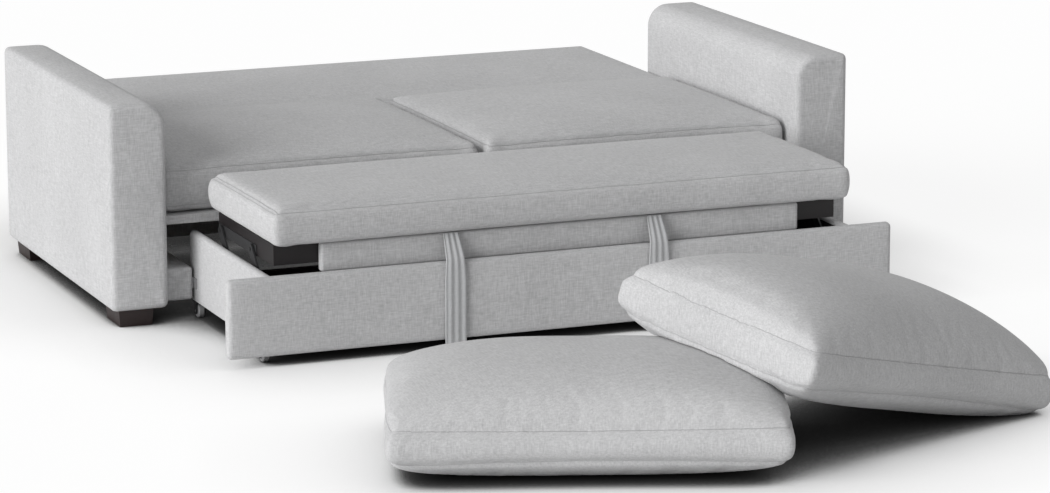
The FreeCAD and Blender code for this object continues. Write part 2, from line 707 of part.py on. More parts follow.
def make_caster_fork(name, x, y):
    """A plate with two cheeks that end round below the axle."""
    start = (f"{x} - caster_width / 2", f"{y} - caster_length / 2", "caster_height - caster_plate")
    plate = block(f"fork_plate_{name}", start, ("caster_width", "caster_length", "caster_plate"))
    pieces = [plate]
    reach = "(wheel_radius * 0.5)"
    for cheek, start in (("a", f"{x} - caster_width / 2"), ("b", f"{x} + caster_width / 2 - caster_plate")):
        pieces.append(block(f"fork_cheek_{cheek}_{name}", (start, f"{y} - {reach}", "wheel_radius"),
                            ("caster_plate", f"2 * {reach}", "caster_height - wheel_radius")))
        pieces.append(rod(f"fork_eye_{cheek}_{name}", (start, y, "wheel_radius"), reach, "caster_plate"))
    hole = rod(f"fork_hole_{name}", (f"{x} - caster_width / 2", y, "wheel_radius"), "axle_radius",
               "caster_width")
    return without(f"caster_fork_{name}", joined(f"fork_steel_{name}", pieces), [hole])


def make_caster_wheel(name, x, y):
    """A turned wheel with a round-shouldered tread."""
    label = f"caster_wheel_{name}"
    body = doc.addObject("PartDesign::Body", label)
    half = sketch_on(body, "XZ_Plane", "HalfSection")
    bore = "axle_radius + turning_gap"
    shoulder = "wheel_radius * 0.88"
    outline(half, (
        ("0", bore), ("wheel_width", bore), ("wheel_width", shoulder), ("wheel_width * 0.85", "wheel_radius"),
        ("wheel_width * 0.15", "wheel_radius"), ("0", shoulder),
    ))
    turned = body.newObject("PartDesign::Revolution", "Turned")
    turned.Profile = half
    turned.ReferenceAxis = (half, ["H_Axis"])
    turned.Angle = 360
    place(body, f"{x} - wheel_width / 2", y, "wheel_radius")
    finish(body, label)


# Lift: two arms on each side between studs on the drawer and studs on the platform

PLATE_OUT = f"({DRAWER_IN} - plate_wall)"
LINK_OUT = f"({PLATE_OUT} - link_gap)"
PLATFORM_OUT = f"({LINK_OUT} - link_wall - link_gap)"
PIVOTS = {"front": "(-front_pivot)", "rear": "(pivot_spread - front_pivot)"}
REACH = "(link_length * cos(lift_angle))"
RISE = "(link_length * sin(lift_angle))"


def make_links():
    for end, pivot in PIVOTS.items():
        for side, sign in SIDES:
            name = f"{end}_{side}"
            x = mirrored(sign, f"{LINK_OUT} - link_wall", "link_wall")
            bar = block(f"link_bar_{name}", ("0", "0", "-link_width / 2"),
                        ("link_wall", "link_length", "link_width"))
            eyes = []
            holes = []
            for eye, along in (("low", "0"), ("high", "link_length")):
                eyes.append(rod(f"link_eye_{eye}_{name}", ("0", along, "0"), "link_width / 2", "link_wall"))
                holes.append(rod(f"link_hole_{eye}_{name}", ("0", along, "0"), "stud_radius + turning_gap",
                                 "link_wall"))
            whole = without(f"lift_link_{name}", joined(f"link_steel_{name}", [bar] + eyes), holes)
            whole.Placement = Placement(Vector(), Rotation(Vector(1, 0, 0), number("lift_angle")))
            bind(whole, "Placement.Rotation.Angle", "lift_angle")
            finish(place(whole, x, pivot, "pivot_height"), f"lift_link_{name}")


def make_pivot_plates():
    """Steel plates with welded studs, one on each drawer side and one on each platform rail."""
    long = "(pivot_spread + 2 * link_width)"
    lower_plates = []
    for side, sign in SIDES:
        low_corner = (mirrored(sign, PLATE_OUT, "plate_wall"), "-front_pivot - link_width",
                      "pivot_height - link_width / 2")
        lower = [block(f"low_plate_{side}", low_corner, ("plate_wall", long, "link_width"))]
        upper = [block(f"high_plate_{side}", (mirrored(sign, f"{PLATFORM_OUT} - plate_wall", "plate_wall"),
                                              f"-front_pivot - link_width + {REACH}",
                                              f"pivot_height + {RISE} - link_width / 2"),
                       ("plate_wall", long, "link_width"))]
        reach = "(link_wall + 2 * link_gap - fit_gap)"
        for end, pivot in PIVOTS.items():
            low_start = (mirrored(sign, f"{PLATE_OUT} - {reach}", reach), pivot, "pivot_height")
            lower.append(rod(f"low_stud_{end}_{side}", low_start, "stud_radius", reach))
            high_start = (mirrored(sign, PLATFORM_OUT, reach), f"{pivot} + {REACH}", f"pivot_height + {RISE}")
            upper.append(rod(f"high_stud_{end}_{side}", high_start, "stud_radius", reach))
        lower_plates.append(joined(f"drawer_pivot_plate_{side}", lower))
        finish(joined(f"platform_pivot_plate_{side}", upper), f"platform_pivot_plate_{side}")
    group("drawer_pivot_plates", lower_plates)


# Platform: four rails, a board, the bed cushion, the apron board and the straps

RAIL_OUT = f"({PLATFORM_OUT} - plate_wall)"
BED_HALF = f"({DRAWER_IN} - bed_gap)"
PLATFORM_FRONT = f"({SIDE_FRONT} + apron_gap + apron_wall)"
PLATFORM_REAR = "(-bed_rear - platform_inset)"


def make_platform():
    rail_z = "bed_base - fit_gap - platform_board - platform_rail"
    deep = f"({PLATFORM_REAR} - {PLATFORM_FRONT})"
    wide = f"(2 * {RAIL_OUT})"
    finish(block("platform_board", (f"-{RAIL_OUT}", PLATFORM_FRONT, "bed_base - fit_gap - platform_board"),
                 (wide, deep, "platform_board")), "platform_board")
    for side, sign in SIDES:
        label = f"platform_side_rail_{side}"
        finish(block(label, (mirrored(sign, f"{RAIL_OUT} - board", "board"), PLATFORM_FRONT, rail_z),
                     ("board", deep, "platform_rail")), label)
    starts = (("platform_front_rail", PLATFORM_FRONT), ("platform_rear_rail", f"{PLATFORM_REAR} - board"))
    for label, y in starts:
        rail = block(label, (f"-{RAIL_OUT} + board", y, rail_z),
                     (f"{wide} - 2 * board", "board", "platform_rail"))
        finish(rail, label)


def make_bed_cushion():
    low = number("bed_base")
    front = number("-fascia_front + swell")
    rear = number("-bed_rear - swell")
    shape = cushion(number(BED_HALF), front, rear, low, low + number("bed_thickness"), number("swell"),
                    number("bed_crown"))
    soft_part("bed_cushion", shape)


def make_apron():
    """The upholstered board that closes the space between the bed cushion and the drawer front."""
    half = f"({BED_HALF} - apron_inset)"
    low = "(fascia_base + fascia_height + apron_gap)"
    apron = slab("apron_board", (f"-{half}", f"{SIDE_FRONT} + apron_gap", low),
                 (f"2 * {half}", "apron_wall", f"bed_base - fit_gap - {low}"))
    rounded(apron, "fascia_edge",
            lambda run, middle, box: near(middle.z, box.ZMin) and abs(run.x) > 0.9 or abs(run.z) > 0.9)


def make_strap(side, middle):
    """A flat loop: it leaves the seam over the apron, falls past the drawer front and comes back up."""
    label = f"pull_strap_{side}"
    body = doc.addObject("PartDesign::Body", label)
    side_view = sketch_on(body, "YZ_Plane", "SideView")
    lap = "(fascia_wall + fascia_board + apron_gap + 4 * strap_wall)"
    drop = "(bed_base - fit_gap - strap_end)"
    knee = "(fascia_base + fascia_height + 2 * apron_gap - strap_end)"
    outline(side_view, (
        ("0", "0"), ("5 * strap_wall", "0"), ("4 * strap_wall", knee), (f"{lap} + strap_wall", drop),
        (lap, drop), ("3 * strap_wall", knee), ("3 * strap_wall", "2 * strap_wall"),
        ("2 * strap_wall", "2 * strap_wall"), ("2 * strap_wall", knee),
        (f"{lap} - strap_wall", drop), (f"{lap} - 2 * strap_wall", drop), ("strap_wall", knee),
    ))
    pad(body, side_view, "strap_width")
    place(body, f"{middle} - strap_width / 2", f"-fascia_front - 6 * strap_wall", "strap_end")
    finish(body, label)


# Loose cushions

def pillow_shape():
    box = number("pillow_box")
    half_depth = number("pillow_depth / 2")
    swell = number("pillow_swell")
    return cushion(number("pillow_length / 2"), -half_depth, half_depth, -box / 2, box / 2, swell,
                   number("pillow_crown"), swell, number("pillow_sag"))


def make_pillow(label, where, turn):
    """A loose cushion whose lowest swell is cut flat where it rests on the floor."""
    stand = Placement(Vector(*[number(text) for text in where]), turn)
    reach = number("pillow_length")
    corner = Vector(stand.Base.x - reach, stand.Base.y - reach, -reach)
    ground = Part.makeBox(2 * reach, 2 * reach, reach, corner)
    ground.Placement = stand.inverse()
    soft_part(label, pillow_shape().cut(ground).Solids[0], where, turn)


def make_pillows():
    """One lies flat on the floor, the other leans on it."""
    flat_z = "pillow_box / 2 + pillow_sag - pillow_rest"
    make_pillow("back_cushion_flat", ("flat_pillow_x", "flat_pillow_y", flat_z),
                Rotation(number("flat_pillow_turn"), 0, 0))
    make_pillow("back_cushion_leaning", ("lean_pillow_x", "lean_pillow_y", "lean_pillow_z"),
                Rotation(number("lean_pillow_turn"), number("lean_pillow_dip"), number("lean_pillow_roll")))


def main():
    for side, sign in SIDES:
        make_arm(side, sign)
        bore_arm_for_pin(side, sign)
        for end in ("front", "rear"):
            make_foot(side, sign, end)
        make_runner(side, sign)
    make_foot_bolts()
    make_seat()
    make_seat_cushions()
    make_back()
    make_hinge_pins()
    make_rear_board()
    make_drawer()
    make_casters()
    make_links()
    make_pivot_plates()
    make_platform()
    make_bed_cushion()
    make_apron()
    make_strap("left", "-strap_left")
    make_strap("right", "strap_right")
    make_pillows()
    doc.recompute()
    centre_footprint()
    export()


def centre_footprint():
    """Move every piece along Y, so that the origin is the middle of the footprint."""
    ends = [part.Shape.BoundBox for part in subparts]
    middle = (min(box.YMin for box in ends) + max(box.YMax for box in ends)) / 2
    sheet.set(cells["origin_y"], f"{middle:.3f}")
    for part in subparts:
        bind(part, "Placement.Base.y", f"{homes[part.Name]} - origin_y")
    doc.recompute()
    print(f"origin_y {middle:.3f}")


def export():
    """Stop at anything that failed, then write one file for each piece."""
    for thing in doc.Objects:
        if "Invalid" in thing.State or "Error" in thing.State:
            raise RuntimeError(f"{thing.Label} is {thing.State}")
    os.makedirs("parts", exist_ok=True)
    for part in subparts:
        if part.Shape.isNull() or not part.Shape.isValid():
            raise RuntimeError(f"{part.Label} has no sound shape")
        part.Shape.exportStep(f"parts/{part.Label}.step")
    print(len(subparts), "parts")


main()
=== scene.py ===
"""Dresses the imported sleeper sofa: padded fabric, wood, steel and plastic, on a plain floor."""
import json
import math
import bmesh
import bpy
from mathutils import Matrix, Vector, noise
from mathutils.bvhtree import BVHTree
from mathutils.kdtree import KDTree


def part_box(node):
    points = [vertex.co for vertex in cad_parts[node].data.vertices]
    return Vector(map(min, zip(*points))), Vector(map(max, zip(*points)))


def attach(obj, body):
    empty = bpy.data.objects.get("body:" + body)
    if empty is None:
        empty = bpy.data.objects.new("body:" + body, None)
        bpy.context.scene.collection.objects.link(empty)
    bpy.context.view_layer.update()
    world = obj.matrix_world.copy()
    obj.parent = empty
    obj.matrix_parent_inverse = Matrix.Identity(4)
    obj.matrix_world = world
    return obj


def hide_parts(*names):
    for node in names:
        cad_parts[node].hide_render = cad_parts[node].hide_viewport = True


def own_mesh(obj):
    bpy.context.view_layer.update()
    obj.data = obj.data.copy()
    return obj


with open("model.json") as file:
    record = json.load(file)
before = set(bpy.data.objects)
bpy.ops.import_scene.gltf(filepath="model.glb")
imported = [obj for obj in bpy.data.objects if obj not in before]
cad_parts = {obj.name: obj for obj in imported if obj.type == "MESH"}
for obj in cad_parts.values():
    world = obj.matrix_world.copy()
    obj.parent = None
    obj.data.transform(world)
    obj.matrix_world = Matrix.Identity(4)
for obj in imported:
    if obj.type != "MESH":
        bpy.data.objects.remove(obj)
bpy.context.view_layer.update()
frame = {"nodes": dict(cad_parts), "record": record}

bl_info = {
    "name": "Sleeper sofa",
    "version": (1, 0, 0),
    "blender": (4, 5, 0),
    "location": "View3D > Sidebar > Sofa",
    "description": "Makes the fabric pieces and the finishes of a sleeper sofa with a pull-out bed",
    "category": "Add Mesh",
}

SIDES = ("left", "right")
SKIN_GAP = 0.001  # how far a cover stays off the part that it rests on


# Sizes and colours that a user may change

class SofaFabric(bpy.types.PropertyGroup):
    """The woven cover cloth, its seams and the webbing of the pull straps."""
    light_yarn: bpy.props.FloatVectorProperty(
        name="Light yarn", description="Colour of the lighter yarns", subtype="COLOR", size=4,
        default=(0.64, 0.64, 0.645, 1))
    dark_yarn: bpy.props.FloatVectorProperty(
        name="Dark yarn", description="Colour of the darker yarns", subtype="COLOR", size=4,
        default=(0.33, 0.33, 0.335, 1))
    thread: bpy.props.FloatVectorProperty(
        name="Seam", description="Colour in the seams", subtype="COLOR", size=4,
        default=(0.38, 0.38, 0.385, 1))
    webbing: bpy.props.FloatVectorProperty(
        name="Webbing", description="Colour of the pull straps", subtype="COLOR", size=4,
        default=(0.56, 0.57, 0.58, 1))
    yarn_pitch: bpy.props.FloatProperty(
        name="Yarn pitch", description="From one yarn to the next but one", subtype="DISTANCE",
        unit="LENGTH", default=0.0042)
    seam_depth: bpy.props.FloatProperty(
        name="Seam depth", description="How deep a seam draws the cloth in", subtype="DISTANCE",
        unit="LENGTH", default=0.0035)
    seam_width: bpy.props.FloatProperty(
        name="Seam width", description="How far from a seam the cloth is drawn in", subtype="DISTANCE",
        unit="LENGTH", default=0.009)
    stitch_radius: bpy.props.FloatProperty(
        name="Seam line", description="Half the width of the line in a seam", subtype="DISTANCE",
        unit="LENGTH", default=0.0009)
    double_seam: bpy.props.FloatProperty(
        name="Double seam", description="From the bed cushion's end seam down to the second one",
        subtype="DISTANCE", unit="LENGTH", default=0.016)


class SofaPadding(bpy.types.PropertyGroup):
    """How full the padded pieces are."""
    cell: bpy.props.FloatProperty(
        name="Cell", description="Mesh size of a cushion before it is subdivided", subtype="DISTANCE",
        unit="LENGTH", default=0.012)
    pressure: bpy.props.FloatProperty(
        name="Pressure", description="Air pressure that stands in for the filling", default=4.0)
    steps: bpy.props.IntProperty(
        name="Steps", description="Simulation steps in which a cushion fills", default=12)
    draw_in: bpy.props.FloatProperty(
        name="Draw-in", description="How far a cushion's cloth is cut inside its solid", subtype="DISTANCE",
        unit="LENGTH", default=0.005)
    face_swell: bpy.props.FloatProperty(
        name="Face swell", description="Rise of a padded panel at its middle", subtype="DISTANCE",
        unit="LENGTH", default=0.004)
    grid: bpy.props.FloatProperty(
        name="Grid", description="Mesh size of a padded panel", subtype="DISTANCE", unit="LENGTH",
        default=0.03)


class SofaStage(bpy.types.PropertyGroup):
    """Camera, floor and light."""
    eye: bpy.props.FloatVectorProperty(
        name="Camera", description="Place of the camera", subtype="TRANSLATION", unit="LENGTH",
        default=(-4.2442, -10.2930, 2.6338))
    look: bpy.props.FloatVectorProperty(
        name="Direction", description="Turn of the camera", subtype="EULER", unit="ROTATION",
        default=(math.pi / 2 - 0.2079, 0.0013, -0.3868))
    lens: bpy.props.FloatProperty(
        name="Lens", description="Focal length in millimetres on a 36 mm sensor", default=139.78)
    shift: bpy.props.FloatVectorProperty(
        name="Shift", description="Camera shift across and up", size=2, default=(0.0120, -0.0281))
    floor: bpy.props.FloatVectorProperty(
        name="Floor", description="Colour of the floor", subtype="COLOR", size=4,
        default=(0.88, 0.88, 0.88, 1))
    sky: bpy.props.FloatProperty(
        name="Sky", description="Brightness of the light from all round", default=0.47)
    key: bpy.props.FloatProperty(
        name="Key light", description="Strength of the soft light from the left", default=3.3)
    key_from: bpy.props.FloatVectorProperty(
        name="Key from", description="Where the light from the left stands", subtype="DIRECTION",
        default=(-0.930, -0.275, 0.243))
    key_spread: bpy.props.FloatProperty(
        name="Key spread", description="Width of the light from the left as the sofa sees it",
        subtype="ANGLE", unit="ROTATION", default=math.radians(45))


# Shader node groups: they put out colours, masks and heights only

def feed(tree, socket, value):
    """Link a socket to another, or give it a plain value."""
    if isinstance(value, bpy.types.NodeSocket):
        tree.links.new(value, socket)
    else:
        socket.default_value = value


def maths(tree, operation, *values):
    """One step of arithmetic in a node tree."""
    step = tree.nodes.new("ShaderNodeMath")
    step.operation = operation
    for socket, value in zip(step.inputs, values):
        feed(tree, socket, value)
    return step.outputs[0]


def mixed(tree, share, first, second):
    """A colour between two others."""
    step = tree.nodes.new("ShaderNodeMix")
    step.data_type = "RGBA"
    for name, value in (("Factor_Float", share), ("A_Color", first), ("B_Color", second)):
        feed(tree, next(socket for socket in step.inputs if socket.identifier == name), value)
    return next(socket for socket in step.outputs if socket.identifier == "Result_Color")


def grain_noise(tree, place, stretch, detail=2.0):
    """Noise drawn out along the axes with a small stretch, from 0 to 1."""
    mapping = tree.nodes.new("ShaderNodeMapping")
    feed(tree, mapping.inputs["Vector"], place)
    feed(tree, mapping.inputs["Scale"], stretch)
    texture = tree.nodes.new("ShaderNodeTexNoise")
    tree.links.new(mapping.outputs[0], texture.inputs["Vector"])
    texture.inputs["Scale"].default_value = 1.0
    texture.inputs["Detail"].default_value = detail
    return texture.outputs[0]


def new_group(name, inputs, outputs):
    """An empty node group with its sockets, its start and its end."""
    tree = bpy.data.node_groups.new(name, "ShaderNodeTree")
    for label, kind, value in inputs:
        socket = tree.interface.new_socket(name=label, in_out="INPUT", socket_type=f"NodeSocket{kind}")
        socket.default_value = value
    for label, kind in outputs:
        tree.interface.new_socket(name=label, in_out="OUTPUT", socket_type=f"NodeSocket{kind}")
    start = tree.nodes.new("NodeGroupInput")
    end = tree.nodes.new("NodeGroupOutput")
    return tree, start, end


def woven_group():
    """Cloth of crossed yarns in two tones, laid on each face from the side that it faces."""
    tree, start, end = new_group(
        "Woven yarns",
        (("Light", "Color", (0.6, 0.6, 0.6, 1)), ("Dark", "Color", (0.4, 0.4, 0.4, 1)),
         ("Pitch", "Float", 0.004), ("Contrast", "Float", 1.7), ("Slub", "Float", 45.0)),
        (("Color", "Color"), ("Height", "Float")))
    where = tree.nodes.new("ShaderNodeTexCoord")
    place = tree.nodes.new("ShaderNodeSeparateXYZ")
    facing = tree.nodes.new("ShaderNodeSeparateXYZ")
    tree.links.new(where.outputs["Object"], place.inputs[0])
    tree.links.new(where.outputs["Normal"], facing.inputs[0])
    turn = maths(tree, "DIVIDE", 2 * math.pi, start.outputs["Pitch"])
    waves = [maths(tree, "SINE", maths(tree, "MULTIPLY", axis, turn)) for axis in place.outputs]
    shares = [maths(tree, "MULTIPLY", axis, axis) for axis in facing.outputs]
    cross = 0.0
    yarns = 0.0
    fineness = 7.0
    check, blotch, relief = 0.10, 0.25, 0.4
    fine = maths(tree, "MULTIPLY", start.outputs["Slub"], fineness)
    for axis in range(3):
        one, other = (axis + 1) % 3, (axis + 2) % 3
        crossing = maths(tree, "MULTIPLY", waves[one], waves[other])
        cross = maths(tree, "MULTIPLY_ADD", crossing, shares[axis], cross)
        scale = tree.nodes.new("ShaderNodeCombineXYZ")
        for count, socket in enumerate(scale.inputs):
            feed(tree, socket, start.outputs["Slub"] if count == axis else fine)
        drawn = grain_noise(tree, where.outputs["Object"], scale.outputs[0], 3.0)
        along = maths(tree, "MULTIPLY", maths(tree, "SUBTRACT", 1.0, shares[axis]), 0.5)
        yarns = maths(tree, "MULTIPLY_ADD", drawn, along, yarns)
    broad = grain_noise(tree, where.outputs["Object"], (4.0, 4.0, 4.0), 1.0)
    tone = maths(tree, "MULTIPLY_ADD", maths(tree, "SUBTRACT", yarns, 0.5), start.outputs["Contrast"], 0.5)
    tone = maths(tree, "MULTIPLY_ADD", cross, check, tone)
    tone = maths(tree, "MULTIPLY_ADD", maths(tree, "SUBTRACT", broad, 0.5), blotch, tone)
    tone = maths(tree, "MINIMUM", maths(tree, "MAXIMUM", tone, 0.0), 1.0)
    tree.links.new(mixed(tree, tone, start.outputs["Dark"], start.outputs["Light"]), end.inputs["Color"])
    tree.links.new(maths(tree, "MULTIPLY_ADD", cross, relief, yarns), end.inputs["Height"])
    return tree


def grain_group():
    """Wood grain: long fibres and broader bands, drawn out along one axis."""
    tree, start, end = new_group(
        "Wood grain",
        (("Light", "Color", (0.6, 0.4, 0.2, 1)), ("Dark", "Color", (0.4, 0.25, 0.1, 1)),
         ("Stretch", "Vector", (3.0, 60.0, 60.0))),
        (("Color", "Color"), ("Height", "Float"), ("Roughness", "Float")))
    fibre_share, band_share, darker = 0.45, 0.9, 0.2
    roughness, rough_fibres = 0.35, 0.25
    where = tree.nodes.new("ShaderNodeTexCoord")
    bands = grain_noise(tree, where.outputs["Object"], start.outputs["Stretch"], 3.0)
    finer = tree.nodes.new("ShaderNodeVectorMath")
    finer.operation = "SCALE"
    tree.links.new(start.outputs["Stretch"], finer.inputs[0])
    finer.inputs["Scale"].default_value = 6.0
    fibres = grain_noise(tree, where.outputs["Object"], finer.outputs[0], 2.0)
    tone = maths(tree, "MULTIPLY_ADD", fibres, fibre_share, maths(tree, "MULTIPLY", bands, band_share))
    tone = maths(tree, "MINIMUM", maths(tree, "MAXIMUM", maths(tree, "SUBTRACT", tone, darker), 0.0), 1.0)
    tree.links.new(mixed(tree, tone, start.outputs["Dark"], start.outputs["Light"]), end.inputs["Color"])
    tree.links.new(fibres, end.inputs["Height"])
    rough = maths(tree, "MULTIPLY_ADD", fibres, rough_fibres, roughness)
    tree.links.new(rough, end.inputs["Roughness"])
    return tree


def wear_group():
    """Fine scuffs and a dusting that vary over metal and plastic."""
    tree, start, end = new_group(
        "Scuffed surface",
        (("Clean", "Color", (0.5, 0.5, 0.5, 1)), ("Worn", "Color", (0.4, 0.4, 0.4, 1)),
         ("Fine", "Float", 400.0), ("Smooth", "Float", 0.3)),
        (("Color", "Color"), ("Height", "Float"), ("Roughness", "Float")))
    rough_clouds, rough_scuffs = 0.2, 0.1
    where = tree.nodes.new("ShaderNodeTexCoord")
    scale = tree.nodes.new("ShaderNodeCombineXYZ")
    for socket in scale.inputs:
        feed(tree, socket, start.outputs["Fine"])
    scuffs = grain_noise(tree, where.outputs["Object"], scale.outputs[0], 4.0)
    cloud = grain_noise(tree, where.outputs["Object"], (18.0, 18.0, 18.0), 3.0)
    tree.links.new(mixed(tree, cloud, start.outputs["Clean"], start.outputs["Worn"]), end.inputs["Color"])
    tree.links.new(scuffs, end.inputs["Height"])
    rough = maths(tree, "MULTIPLY_ADD", cloud, rough_clouds, start.outputs["Smooth"])
    tree.links.new(maths(tree, "MULTIPLY_ADD", scuffs, rough_scuffs, rough), end.inputs["Roughness"])
    return tree


# Materials

def new_material(name, group, values, roughness=0.5, metallic=0.0, bump=0.3, depth=0.001, sheen=0.0):
    """A material whose colour, roughness and bump come from a node group."""
    material = bpy.data.materials.new(name)
    material.use_nodes = True
    tree = material.node_tree
    shader = tree.nodes["Principled BSDF"]
    shader.inputs["Roughness"].default_value = roughness
    shader.inputs["Metallic"].default_value = metallic
    shader.inputs["Sheen Weight"].default_value = sheen
    if sheen:
        shader.inputs["Specular IOR Level"].default_value = 0.2
    made = tree.nodes.new("ShaderNodeGroup")
    made.node_tree = bpy.data.node_groups[group]
    for label, value in values.items():
        made.inputs[label].default_value = value
    tree.links.new(made.outputs["Color"], shader.inputs["Base Color"])
    if "Roughness" in made.outputs:
        tree.links.new(made.outputs["Roughness"], shader.inputs["Roughness"])
    relief = tree.nodes.new("ShaderNodeBump")
    relief.inputs["Strength"].default_value = bump
    relief.inputs["Distance"].default_value = depth
    tree.links.new(made.outputs["Height"], relief.inputs["Height"])
    tree.links.new(relief.outputs["Normal"], shader.inputs["Normal"])
    return material


def make_materials():
    """Make every finish once."""
    fabric = bpy.context.scene.sofa_fabric
    woven_group()
    grain_group()
    wear_group()
    cloth = {"Light": fabric.light_yarn, "Dark": fabric.dark_yarn, "Pitch": fabric.yarn_pitch}
    new_material("Heathered cloth", "Woven yarns", cloth, 0.92, bump=0.35, sheen=0.15)
    new_material("Seam thread", "Woven yarns",
                 {"Light": fabric.thread, "Dark": fabric.thread, "Pitch": fabric.yarn_pitch}, 0.95, bump=0.1)
    new_material("Strap webbing", "Woven yarns",
                 {"Light": fabric.webbing, "Dark": fabric.dark_yarn, "Pitch": fabric.yarn_pitch / 2,
                  "Contrast": 0.8}, 0.9, bump=0.4, sheen=0.1)
    # Painted shade: near-black cloth that stands in for the shade inside the drawer.
    new_material("Drawer lining", "Woven yarns",
                 {"Light": (0.008, 0.005, 0.006, 1), "Dark": (0.004, 0.002, 0.003, 1)}, 0.95, bump=0.2)
    new_material("Dark stained wood", "Wood grain",
                 {"Light": (0.020, 0.008, 0.007, 1), "Dark": (0.006, 0.003, 0.003, 1),
                  "Stretch": (40.0, 40.0, 4.0)}, bump=0.15, depth=0.0005)
    for name, stretch in (("Pine across", (3.0, 60.0, 60.0)), ("Pine along", (60.0, 3.0, 60.0))):
        new_material(name, "Wood grain",
                     {"Light": (0.62, 0.44, 0.26, 1), "Dark": (0.42, 0.26, 0.13, 1), "Stretch": stretch},
                     bump=0.2)
    # Painted shade: the boards in the bay under the bed cushion and behind the drawer front are near black,
    # to stand in for the deep shade there.
    new_material("Dark painted board", "Wood grain",
                 {"Light": (0.007, 0.004, 0.005, 1), "Dark": (0.003, 0.002, 0.002, 1)}, bump=0.1)
    new_material("Zinc plated steel", "Scuffed surface",
                 {"Clean": (0.60, 0.60, 0.61, 1), "Worn": (0.46, 0.46, 0.47, 1), "Smooth": 0.28},
                 metallic=1.0, bump=0.05)
    # The links and pivots are black steel; their near-black tone also stands in, as painted shade, for the
    # shade in the bay under the bed cushion.
    new_material("Black powder coat", "Scuffed surface",
                 {"Clean": (0.010, 0.010, 0.011, 1), "Worn": (0.018, 0.018, 0.019, 1), "Smooth": 0.45,
                  "Fine": 1500.0}, bump=0.15)
    new_material("Grey plastic", "Scuffed surface",
                 {"Clean": (0.30, 0.30, 0.31, 1), "Worn": (0.22, 0.22, 0.22, 1), "Smooth": 0.4}, bump=0.08)
    new_material("White nylon", "Scuffed surface",
                 {"Clean": (0.78, 0.78, 0.76, 1), "Worn": (0.66, 0.66, 0.63, 1), "Smooth": 0.35}, bump=0.05)


# Meshes

def add_piece(name, mesh, material, body):
    """Show a mesh, give it its finish, and let it ride on a body."""
    piece = bpy.data.objects.new(name, mesh)
    bpy.context.scene.collection.objects.link(piece)
    mesh.materials.clear()
    mesh.materials.append(bpy.data.materials[material])
    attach(piece, body)
    return piece


def rounded_rectangle(low, high, radii, step):
    """Points, outward normals and fullness round a rectangle; radii start at the lower left corner."""
    arc_step = 0.005
    corners = ((low[0], low[1]), (high[0], low[1]), (high[0], high[1]), (low[0], high[1]))
    arcs = []
    for count, (corner, radius) in enumerate(zip(corners, radii)):
        inward = Vector((1 if corner[0] == low[0] else -1, 1 if corner[1] == low[1] else -1))
        centre = Vector(corner) + inward * radius
        turns = max(3, round(radius / arc_step))
        for share in range(turns + 1):
            angle = math.pi * (1 + count / 2) + math.pi / 2 * share / turns
            normal = Vector((math.cos(angle), math.sin(angle)))
            arcs.append((centre + normal * radius, normal, 0.0))
    loop = []
    for here, there in zip(arcs, arcs[1:] + arcs[:1]):
        loop.append(here)
        run = there[0] - here[0]
        parts = round(run.length / step)
        if (here[1] - there[1]).length < 1e-6:
            for share in range(1, parts):
                loop.append((here[0] + run * share / parts, here[1], math.sin(math.pi * share / parts)))
    return loop


def padded_block(name, low, high, radii, axis, edge, swell, step):
    """A block whose outline is carried along an axis, with rounded ends and gently swollen faces."""
    across = [count for count in range(3) if count != axis]
    start = Vector([low[count] for count in across])
    end = Vector([high[count] for count in across])
    loop = rounded_rectangle(start, end, radii, step)
    length = high[axis] - low[axis]
    middle = (start + end) / 2
    half = (end - start) / 2 - Vector((edge, edge))
    turns = 5
    curve = [math.pi / 2 * count / turns for count in range(turns + 1)]
    near_end = [(edge * (1 - math.cos(angle)), edge * (1 - math.sin(angle))) for angle in curve]
    spans = max(2, round((length - 2 * edge) / step))
    even = [(edge + (length - 2 * edge) * count / spans, 0.0) for count in range(1, spans)]
    stations = near_end + even + [(length - place, inset) for place, inset in reversed(near_end)]
    mesh = bmesh.new()

    def corner(flat, along):
        spot = [0.0, 0.0, 0.0]
        spot[across[0]], spot[across[1]], spot[axis] = flat[0], flat[1], low[axis] + along
        return mesh.verts.new(spot)

    rings = []
    for along, inset in stations:
        rise = swell * math.sin(math.pi * along / length)
        rings.append([corner(point + normal * (rise * full - inset), along) for point, normal, full in loop])
    cap_scales = (0.92, 0.75, 0.5, 0.25)
    cap_swell = swell * 0.5
    for place, side in ((0.0, -1), (length, 1)):
        caps = []
        for scale in cap_scales:
            ring = []
            for point, normal, full in loop:
                away = (point - normal * edge - middle) * scale
                puff = (1 - (away.x / half.x) ** 2) * (1 - (away.y / half.y) ** 2)
                ring.append(corner(middle + away, place + cap_swell * puff * side))
            caps.append(ring)
        tip = corner(middle, place + cap_swell * side)
        rings = list(reversed(caps)) + rings if side < 0 else rings + caps
        rim = caps[-1]
        for here, there in zip(rim, rim[1:] + rim[:1]):
            mesh.faces.new((here, there, tip))
    for one, other in zip(rings, rings[1:]):
        for count in range(len(one)):
            after = (count + 1) % len(one)
            mesh.faces.new((one[count], one[after], other[after], other[count]))
    bmesh.ops.recalc_face_normals(mesh, faces=mesh.faces)
    made = bpy.data.meshes.new(name)
    mesh.to_mesh(made)
    mesh.free()
    made.shade_smooth()
    return made


def even_mesh(piece, cell):
    """Give a piece an even mesh of small cells."""
    remesh = piece.modifiers.new("Even mesh", "REMESH")
    remesh.mode = "VOXEL"
    remesh.voxel_size = cell


def surface_of(piece):
    """A piece's surface, for finding the nearest place on it."""
    return BVHTree.FromPolygons([vertex.co for vertex in piece.data.vertices],
                                [tuple(face.vertices) for face in piece.data.polygons])


def settled(piece):
    """The mesh that a piece shows now, with its modifiers applied."""
    shown = piece.evaluated_get(bpy.context.evaluated_depsgraph_get())
    mesh = bpy.data.meshes.new_from_object(shown)
    piece.modifiers.clear()
    piece.data = mesh
    return mesh


